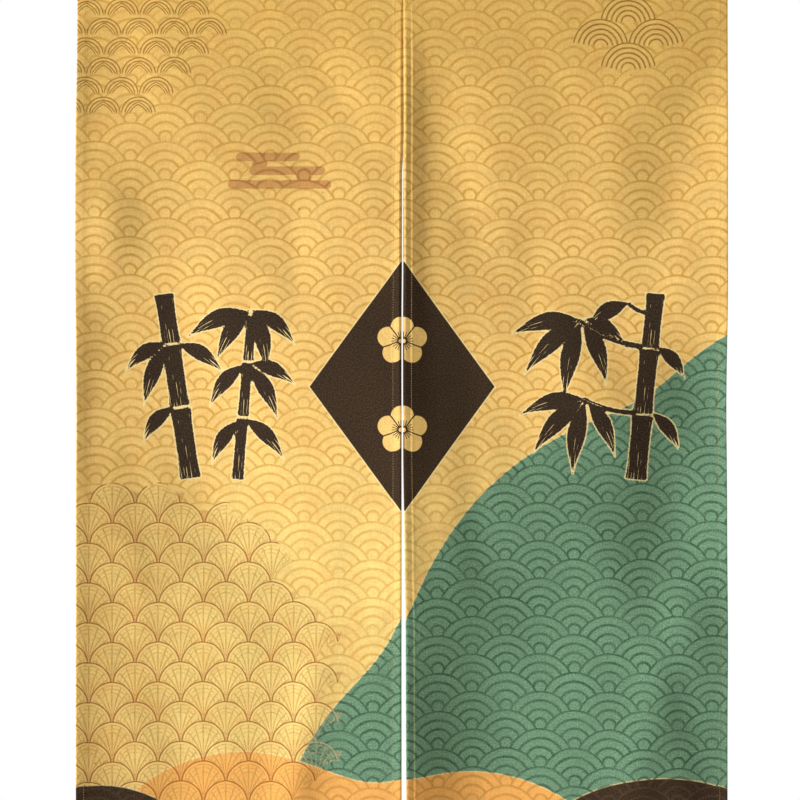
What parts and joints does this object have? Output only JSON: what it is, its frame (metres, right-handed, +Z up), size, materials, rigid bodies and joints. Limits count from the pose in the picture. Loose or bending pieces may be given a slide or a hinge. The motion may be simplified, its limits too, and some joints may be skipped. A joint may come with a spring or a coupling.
{
  "type": "noren curtain",
  "caption": "Split doorway curtain: printed cloth panels that hang in soft folds from a rod sleeve and part at a middle slit.",
  "frame": {"origin": "the middle of the top edge, on top of the rod sleeve", "axes": "+Z up, +X to the right of a viewer who faces the printed side, +Y away from that viewer"},
  "size_m": [0.85, 0.0447, 1.2],
  "materials": {
    "printed_cloth": "matte plain weave, printed",
    "heading_cloth": "matte plain weave, printed"
  },
  "bodies": {
    "root": {"panel_left": "printed_cloth", "panel_right": "printed_cloth", "heading": "heading_cloth"}
  },
  "joints": []
}
